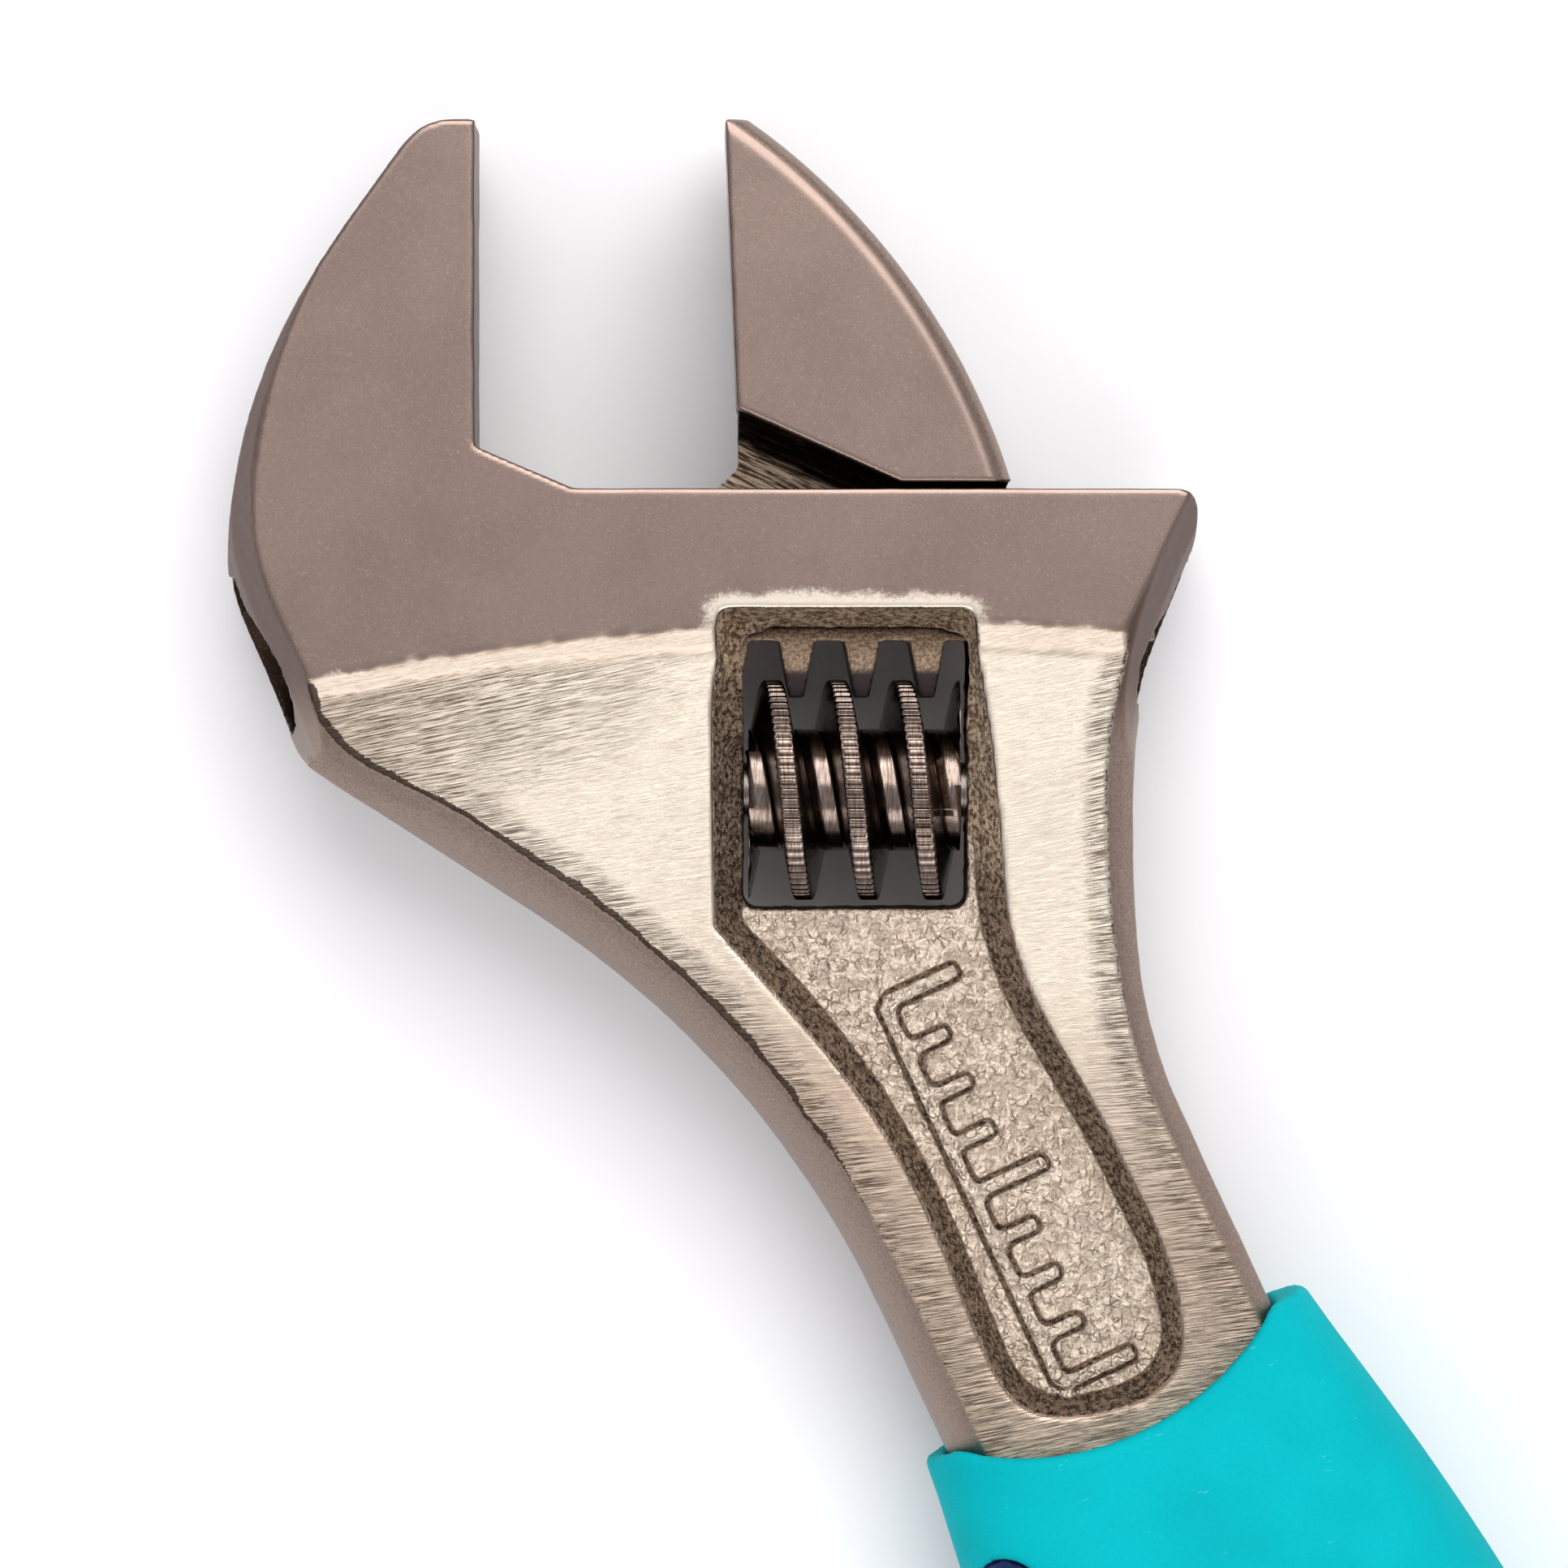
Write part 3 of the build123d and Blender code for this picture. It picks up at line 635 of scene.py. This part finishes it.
def body_regions(co, normals):
    """How much each point belongs to each surface of the forging, from 0 to 1."""
    up = np.abs(normals[:, 2])
    height = np.abs(co[:, 2])
    face = face_height(co)
    drop = face - height
    wander = 0.14 * value_noise(co, 0.5, 40) + 0.12 * value_noise(co, 1.6, 41)
    reach = np.hypot(co[:, 0] - ARCH[0], co[:, 1] - (ARCH[1] - ARCH_R)) + wander
    on_face = smoothstep(0.30, 0.12, drop) * smoothstep(0.72, 0.90, up)
    head = smoothstep(ARCH_R - 0.2, ARCH_R + 0.2, reach)
    in_recess = inside(RECESS, co[:, :2]) * smoothstep(0.10, 0.26, drop) * (1 - on_face)
    floor = in_recess * smoothstep(0.75, 0.95, up) * smoothstep(1.6, 2.2, height) * (height < 3.2)
    sideways = smoothstep(0.6, 0.4, up)
    low, high = WINDOW
    clear = np.max(np.maximum(low - co[:, :2], co[:, :2] - high), axis=1)
    window = smoothstep(0.25, 0.12, clear) * sideways * (height < 2.5)
    channel = smoothstep(0.20, 0.10, np.hypot(co[:, 1] - CHANNEL_Y, co[:, 2]) - CHANNEL_R)
    slot = (height < SLOT_HALF + 0.15) * (co[:, 1] > CHANNEL_Y) * (up > 0.7)
    # the window walls, the channel and the slot, which are painted dark as shade
    inner = np.clip(window + channel + slot, 0, 1)
    wave = 0.2 * value_noise(co, 1.1, 43)
    # painted light: the recess walls round the window are painted paler on the lit side
    lit = np.maximum(smoothstep(17.0, 19.0, co[:, 0]), smoothstep(-19.5, -17.0, co[:, 1]))
    collar = smoothstep(-29.0, -26.0, co[:, 1]) * (0.15 + 0.85 * lit)
    # painted highlight where the face rolls off above the recess, and along the arch's bevel
    above_recess = 0.9 * smoothstep(-13.9, -15.0, co[:, 1] + wave) * smoothstep(-16.6, -15.6, co[:, 1])
    across_recess = smoothstep(10.0, 12.0, co[:, 0] + wave) * smoothstep(24.9, 22.9, co[:, 0] + wave)
    above_recess = above_recess * across_recess
    foot = 0.8 * smoothstep(-0.2, 0.35, ARCH_R - reach + wave) * smoothstep(1.5, 0.7, ARCH_R - reach + wave)
    painted_highlight = on_face * np.clip(np.maximum(above_recess, foot), 0, 1)
    return {
        "on_face": on_face * (1 - in_recess),
        "ground": on_face * head,
        "brushed": on_face * (1 - head) * (1 - in_recess),
        "recess": in_recess * (1 - floor),
        "floor": floor,
        "inner": inner,
        "painted_highlight": painted_highlight,
        "collar": collar,
        # where the sides get painted shade, towards the jaws
        "upper": smoothstep(-22.0, -18.0, co[:, 1]),
        "below": np.clip(ARCH_R - reach, 0, None),
    }


def stroke_coordinates(co):
    """Along and across the brush strokes, in mm. Their slope changes down the handle."""
    slope = np.interp(-co[:, 1], [22.0, 34.0, 46.0, 58.0], [0.21, 0.06, 0.14, 0.30])
    across = co[:, 1] - slope * (co[:, 0] - 10.0)
    return co[:, 0] + np.sign(co[:, 2]) * 40.0, across


def ragged_rim(co, region, near_side):
    """Painted shade: a dark ragged line where the brushed face meets the side, strongest on the handle's
    left.
    """
    left = smoothstep(0.5, -0.5, (co[:, :2] - HANDLE_ROOT) @ ACROSS)
    ragged = 0.05 * value_noise(co, 0.5, 50) + 0.12 * value_noise(co, 1.3, 51)
    strength = left + 0.45 * (1 - left)
    fade = 0.35 + 0.65 * smoothstep(-46.0, -34.0, co[:, 1])
    band = smoothstep(0.16, 0.44, near_side + ragged) * smoothstep(0.74, 0.54, near_side + 0.5 * ragged)
    in_head = smoothstep(0.4, 0.0, region["below"])
    return band * (1 - in_head) * (1 - region["floor"] - region["recess"]) * strength * fade


def brown_strokes(co, region, near_edge, shank):
    """Where the brown strokes show: at the upper left, along the edges and down the shank."""
    upper_left = smoothstep(9.0, 1.5, region["below"]) * smoothstep(13.0, -3.0, co[:, 0])
    patches = 0.5 + 0.5 * value_noise(co, 3.0, 52)
    scrub = 0.12 + 1.1 * upper_left + 0.85 * smoothstep(0.04, 0.30, near_edge)
    scrub = scrub + 0.42 * smoothstep(-8.0, 2.0, shank) + 0.15 * patches
    scrub = scrub * smoothstep(0.9, 1.7, region["below"] + 0.3 * patches)
    return np.clip(scrub, 0, 1)


def painted_sheen_on_brushing(co, region):
    """Painted sheen: where the brushed face is painted brightest, as if reflecting the light: its middle, and
    the shank's right side.
    """
    middle = smoothstep(-39.0, -27.0, co[:, 1]) * (0.40 + 0.60 * smoothstep(-7.0, 3.0, co[:, 0]))
    lower_right = smoothstep(20.0, 26.0, co[:, 0]) * smoothstep(-46.0, -36.0, co[:, 1])
    return np.clip(middle + 0.45 * lower_right, 0, 1) * smoothstep(0.6, 1.6, region["below"])


def build_body(material):
    """The forging, with softened edges, cast relief and a mark for each of its surfaces."""
    mesh = remeshed("wrench_body", BODY_VOXEL)
    co, normals = read_mesh(mesh)
    pairs = edge_pairs(mesh)
    co = smooth_points(co, pairs, 3)
    region = body_regions(co, normals)
    forged = blurred(np.clip(region["recess"] + region["floor"], 0, 1), pairs, 2)
    co = relaxed(co, pairs, np.clip(forged, 0, 1), 7)
    write_points(mesh, co)
    refine(mesh, region["floor"] + region["recess"] > 0.3)

    co, normals = read_mesh(mesh)
    pairs = edge_pairs(mesh)
    region = body_regions(co, normals)
    floor, recess = region["floor"], region["recess"]
    side = np.clip(1 - region["on_face"] - recess - floor, 0, 1)
    outside = side * (1 - inside(RECESS, co[:, :2]))
    shank = (co[:, :2] - HANDLE_ROOT) @ ALONG
    rim = ragged_rim(co, region, blurred(outside, pairs, 26))
    scrub = brown_strokes(co, region, blurred(outside, pairs, 160), shank)

    # relief, always cut inwards so that the piece stays inside its CAD node
    billow = np.abs(value_noise(co, 0.50, 3)) + 0.6 * np.abs(value_noise(co, 0.28, 4))
    coarse = value_noise(co, 0.42, 5)
    wander = value_noise(co, 2.2, 6)
    dents = (
        floor * (0.10 * billow + 0.03 * (1 + wander))
        + recess * (0.05 * (1 + coarse) + 0.03 * (1 + wander))
        + side * (0.008 * (1 + coarse) + 0.02 * (1 + wander))
        + rim * 0.05
    )
    shown = smoothstep(SHANK_END, SHANK_END - 1, shank)
    u, v = stroke_coordinates(co)
    for name, values in (
        ("ground", region["ground"]), ("brushed", region["brushed"]), ("recess", recess), ("floor", floor),
        ("rim", rim), ("scrub", scrub), ("painted_sheen", painted_sheen_on_brushing(co, region)),
        ("inner", region["inner"]), ("painted_highlight", region["painted_highlight"]), ("collar", region["collar"]),
        ("upper", region["upper"]), ("hollow", smoothstep(0.42, 0.75, billow) * floor * 0.5),
        ("stroke_u", u), ("stroke_v", v),
    ):
        add_attribute(mesh, name, values)
    write_points(mesh, co - normals * (dents * shown)[:, None])
    return make_piece("forged_body", mesh, material, "body", "wrench_body")


def build_jaw(material):
    """The movable jaw, with scars drawn along its web."""
    mesh = remeshed("movable_jaw", JAW_VOXEL)
    co, normals = read_mesh(mesh)
    pairs = edge_pairs(mesh)
    write_points(mesh, smooth_points(co, pairs, 1))
    co, normals = read_mesh(mesh)
    up = np.abs(normals[:, 2])
    height = np.abs(co[:, 2])
    ground = smoothstep(0.25, 0.1, HEAD_HALF - height) * smoothstep(0.75, 0.95, up)
    web = smoothstep(-4.6, -5.4, co[:, 1]) * smoothstep(3.2, 2.6, height) * smoothstep(-14.0, -13.0, co[:, 1])
    rack = smoothstep(GRAINY_BELOW, GRAINY_BELOW - 0.6, co[:, 1])
    # painted shade: the lower ends of the teeth are darker
    shaded_tips = smoothstep(-17.9, -18.3, co[:, 1])
    from_heel = (co[:, :2] - HEEL) @ np.array([-math.sin(HEEL_ANGLE), -math.cos(HEEL_ANGLE)])
    ragged = 0.25 * value_noise(co, 0.8, 60)
    # painted shade: the web is darker within about 1.5 mm of the heel, under its overhanging wall
    heel_shade = smoothstep(1.75, 1.25, from_heel + ragged) * web
    for name, values in (("ground", ground), ("web", web), ("heel_shade", heel_shade), ("rack", rack), ("shaded_tips", shaded_tips)):
        add_attribute(mesh, name, values)
    lengthwise = np.stack([co[:, 0] * 0.25, co[:, 1] + co[:, 0] * math.tan(HEEL_ANGLE), co[:, 2]], 1)
    scars = web * 0.035 * (1 + value_noise(lengthwise, 0.3, 8))
    ripple = (1 - ground) * 0.006 * (1 + value_noise(co, 1.2, 9))
    write_points(mesh, co - normals * (scars + ripple)[:, None])
    return make_piece("sliding_jaw", mesh, material, "jaw", "movable_jaw")


def build_grip(node_name, piece_name, voxel, material, seed):
    """One moulded part of the grip, with rounded edges and a slightly uneven skin."""
    mesh = remeshed(node_name, voxel)
    co, normals = read_mesh(mesh)
    pairs = edge_pairs(mesh)
    co = smooth_points(co, pairs, 5)
    write_points(mesh, co)
    co, normals = read_mesh(mesh)
    co = co - normals * (0.015 * (1 + value_noise(co, 3.0, seed)))[:, None]
    write_points(mesh, co)
    return make_piece(piece_name, mesh, material, "body", node_name)


# ---- worm

PITCH = 3.1
CREST_PHASE = 17.15        # x at which a crest faces the rack
ROOT_R = 2.85
WORM_BORE_R = 1.36
CREST = 0.85               # width of the thread's crest
KNURLS = 68                # round one turn
KNURL_DEPTH = 0.20
KNURL_STEPS = 12           # rows of points for each knurl
LAND = 0.68                # half width of the raised land between threads
END_INSET = 0.01           # keeps the flat ends inside the CAD worm
RING_POINTS = 96           # round the bore


def worm_profile():
    """(offset along the axis, radius, how knurled) over one pitch, from mid-land to mid-land."""
    half = CREST / 2
    round_off = 0.09
    flank = math.tan(math.radians(10.0)) * (WORM_R - ROOT_R)
    foot = half + flank
    right = [
        (0.0, WORM_R, 1.0), (half * 0.5, WORM_R, 1.0), (half - round_off, WORM_R - 0.005, 1.0),
        (half - round_off * 0.3, WORM_R - round_off * 0.35, 0.9), (half + 0.01, WORM_R - round_off, 0.75),
        (half + flank * 0.12, WORM_R - 0.30, 0.25), (half + flank * 0.25, WORM_R - 0.60, 0.0),
        (half + flank * 0.7, WORM_R - 0.7 * (WORM_R - ROOT_R), 0.0), (foot, ROOT_R - 0.05, 0.0),
        (foot + 0.07, ROOT_R - 0.17, 0.0), (PITCH / 2 - LAND - 0.10, ROOT_R - 0.18, 0.0),
        (PITCH / 2 - LAND - 0.02, ROOT_R - 0.10, 0.0), (PITCH / 2 - LAND + 0.06, ROOT_R + 0.02, 0.0),
        (PITCH / 2 - LAND + 0.2, ROOT_R + 0.05, 0.0), (PITCH / 2, ROOT_R + 0.05, 0.0),
    ]
    left = [(-x, r, k) for x, r, k in reversed(right[1:-1])]
    return left + right


def worm_strip():
    """The profile swept along the helix, with each turn joined to the next: points and faces."""
    profile = worm_profile()
    steps = KNURLS * KNURL_STEPS
    first = math.floor((worm_low[0] - CREST_PHASE) / PITCH - 1)
    last = math.ceil((worm_high[0] - CREST_PHASE) / PITCH + 1)
    rows = (last - first) * steps + 1
    wide = len(profile)
    turn = np.arange(rows) / steps
    angle = turn * 2 * math.pi
    knurl = smoothstep(0.2, 0.6, 0.5 + 0.5 * np.cos(angle * KNURLS))
    uneven = 1 + 0.2 * value_noise(np.stack([angle * 4, angle * 0, angle * 0], 1), 1.0, 21)
    co = np.empty((rows, wide, 3))
    for j, (offset, radius, knurled) in enumerate(profile):
        x = CREST_PHASE + (first + turn) * PITCH + offset
        r = radius - KNURL_DEPTH * knurled * (1 - knurl) * uneven
        co[:, j] = np.stack([x, WORM_Y + r * np.cos(angle), r * np.sin(angle)], 1)
    index = np.arange(rows * wide).reshape(rows, wide)
    quads = np.stack([index[:-1, :-1], index[:-1, 1:], index[1:, 1:], index[1:, :-1]], -1).reshape(-1, 4)
    # the right edge of each turn meets the left edge of the next turn
    seam_rows = np.arange(rows - steps)
    next_left, right = index[seam_rows + steps, 0], index[seam_rows, -1]
    seam = np.stack([right[:-1], right[1:], next_left[1:], next_left[:-1]], -1)
    return co.reshape(-1, 3), np.concatenate([quads, seam])


def flat_end(bm, x, side):
    """Cuts off what lies past x, fills the end down to the bore and gives back the bore's ring."""
    cut = bmesh.ops.bisect_plane(
        bm, geom=bm.verts[:] + bm.edges[:] + bm.faces[:], plane_co=(x, 0, 0), plane_no=(-side, 0, 0),
        clear_outer=True, dist=1e-6,
    )
    edges = [e for e in cut["geom_cut"] if isinstance(e, bmesh.types.BMEdge)]
    ring = []
    for k in range(RING_POINTS):
        a = 2 * math.pi * k / RING_POINTS
        ring.append(bm.verts.new((x, WORM_Y + WORM_BORE_R * math.cos(a), WORM_BORE_R * math.sin(a))))
    for k in range(RING_POINTS):
        edges.append(bm.edges.new((ring[k], ring[(k + 1) % RING_POINTS])))
    bmesh.ops.triangle_fill(bm, use_beauty=True, use_dissolve=False, edges=edges, normal=(-side, 0, 0))
    return ring


def build_worm(material):
    """The knurled worm: the strip cut to length, with flat ends and a bore."""
    co, faces = worm_strip()
    mesh = bpy.data.meshes.new("worm")
    mesh.from_pydata(co.tolist(), [], faces.tolist())
    bm = bmesh.new()
    bm.from_mesh(mesh)
    left_ring = flat_end(bm, worm_low[0] + END_INSET, 1)
    right_ring = flat_end(bm, worm_high[0] - END_INSET, -1)
    for k in range(RING_POINTS):
        after = (k + 1) % RING_POINTS
        bm.faces.new((left_ring[k], left_ring[after], right_ring[after], right_ring[k]))
    bmesh.ops.remove_doubles(bm, verts=bm.verts, dist=1e-5)
    bmesh.ops.recalc_face_normals(bm, faces=bm.faces)
    bm.to_mesh(mesh)
    bm.free()
    return make_piece("knurled_worm", mesh, material, "worm", "adjusting_worm")


def dress_cad(name, material, bevel_mm):
    """Keeps a CAD node as it is, with a better material and softened edges."""
    ob = nodes[name]
    ob.data.materials.clear()
    ob.data.materials.append(material)
    if bevel_mm:
        mod = ob.modifiers.new("edges", "BEVEL")
        mod.width = bevel_mm * MM
        mod.segments = 2
        mod.limit_method = "ANGLE"
        mod.angle_limit = math.radians(40)


# ---------------------------------------------------------------- stage, camera, light

FLOOR_GAP = 0.05           # below the grip
FLOOR_HALF = 2000.0
CAMERA_HEIGHT = 450.0      # above the head's face
SEEN_WIDTH = 73.95         # of the plane of the head's face
CAMERA_AIM = (14.58, -23.46)
CAMERA_PLACE = (10.1, -19.0)
LIGHT_AIM = (10, -25, 0)
WARM_WHITE = (1.0, 0.985, 0.965)
SKY_TINT = (0.98, 0.965, 1.0)
SKY_LEVELS = ((0.0, 0.62), (0.45, 0.64), (0.80, 0.48), (0.95, 0.84))    # place on the ramp, level


def paper_floor():
    """A wide sheet of pale paper just under the grip."""
    mesh = bpy.data.meshes.new("floor")
    half = FLOOR_HALF * MM
    z = (GRIP_BOTTOM - FLOOR_GAP) * MM
    corners = [(-half, -half, z), (half, -half, z), (half, half, z), (-half, half, z)]
    mesh.from_pydata(corners, [], [(0, 1, 2, 3)])
    floor = bpy.data.objects.new("floor", mesh)
    bpy.context.scene.collection.objects.link(floor)
    m = Nodes("floor_paper")
    m.finish(PAPER, 0.9, metallic=0.0)
    mesh.materials.append(m.material)


def area_light(name, place_mm, size_mm, power):
    lamp = bpy.data.lights.new(name, "AREA")
    lamp.shape = "RECTANGLE"
    lamp.size, lamp.size_y = size_mm[0] * MM, size_mm[1] * MM
    lamp.energy = power
    lamp.color = WARM_WHITE
    ob = bpy.data.objects.new(name, lamp)
    bpy.context.scene.collection.objects.link(ob)
    ob.location = Vector(place_mm) * MM
    ob.rotation_euler = (Vector(LIGHT_AIM) - Vector(place_mm)).to_track_quat("-Z", "Y").to_euler()


def camera():
    """Close overhead view of the head, as in the photograph."""
    data = bpy.data.cameras.new("camera")
    data.clip_start = 0.01
    data.angle = 2 * math.atan(SEEN_WIDTH / 2 / CAMERA_HEIGHT)
    ob = bpy.data.objects.new("camera", data)
    bpy.context.scene.collection.objects.link(ob)
    aim = Vector((*CAMERA_AIM, HEAD_HALF))
    place = Vector((*CAMERA_PLACE, HEAD_HALF + CAMERA_HEIGHT))
    back = (place - aim).normalized()
    right = Vector((0, 1, 0)).cross(back).normalized()
    turn = Matrix((right, back.cross(right), back)).transposed()
    ob.matrix_world = Matrix.Translation(place * MM) @ turn.to_4x4()
    bpy.context.scene.camera = ob


def lights():
    """A dim tent, brighter overhead, with a soft key from the upper right and two low fill lights."""
    world = bpy.data.worlds.new("studio")
    world.use_nodes = True
    tree = world.node_tree
    sky = tree.nodes["Background"]
    place = tree.nodes.new("ShaderNodeTexCoord")
    split = tree.nodes.new("ShaderNodeSeparateXYZ")
    fade = tree.nodes.new("ShaderNodeValToRGB")
    tree.links.new(place.outputs["Generated"], split.inputs["Vector"])
    tree.links.new(split.outputs["Z"], fade.inputs["Fac"])
    tree.links.new(fade.outputs["Color"], sky.inputs["Color"])
    ramp = fade.color_ramp
    ramp.elements[0].position, ramp.elements[1].position = SKY_LEVELS[0][0], SKY_LEVELS[-1][0]
    for position, _ in SKY_LEVELS[1:-1]:
        ramp.elements.new(position)
    for element, (_, level) in zip(ramp.elements, SKY_LEVELS):
        element.color = [level * part for part in SKY_TINT] + [1]
    bpy.context.scene.world = world
    area_light("key", (110, 400, 600), (600, 600), 4.2)
    area_light("low_front", (0, -480, 400), (800, 240), 1.5)
    area_light("far_back", (0, 480, 380), (700, 200), 0.9)


# ---------------------------------------------------------------- build

camera()
paper_floor()
lights()

build_body(forged_nickel())
build_jaw(jaw_nickel())
build_worm(dark_nickel())
dress_cad("worm_pin", turned_steel("pin_steel", PIN_DARK, PIN_PALE), 0.08)
dress_cad("worm_spring", turned_steel("spring_wire", WIRE_DARK, WIRE_PALE), 0)
build_grip("grip_cover", "soft_grip_cover", COVER_VOXEL, soft_cover(), 31)
build_grip("grip_core", "navy_grip_core", CORE_VOXEL, hard_core(), 32)

bpy.context.scene.view_settings.view_transform = "Standard"
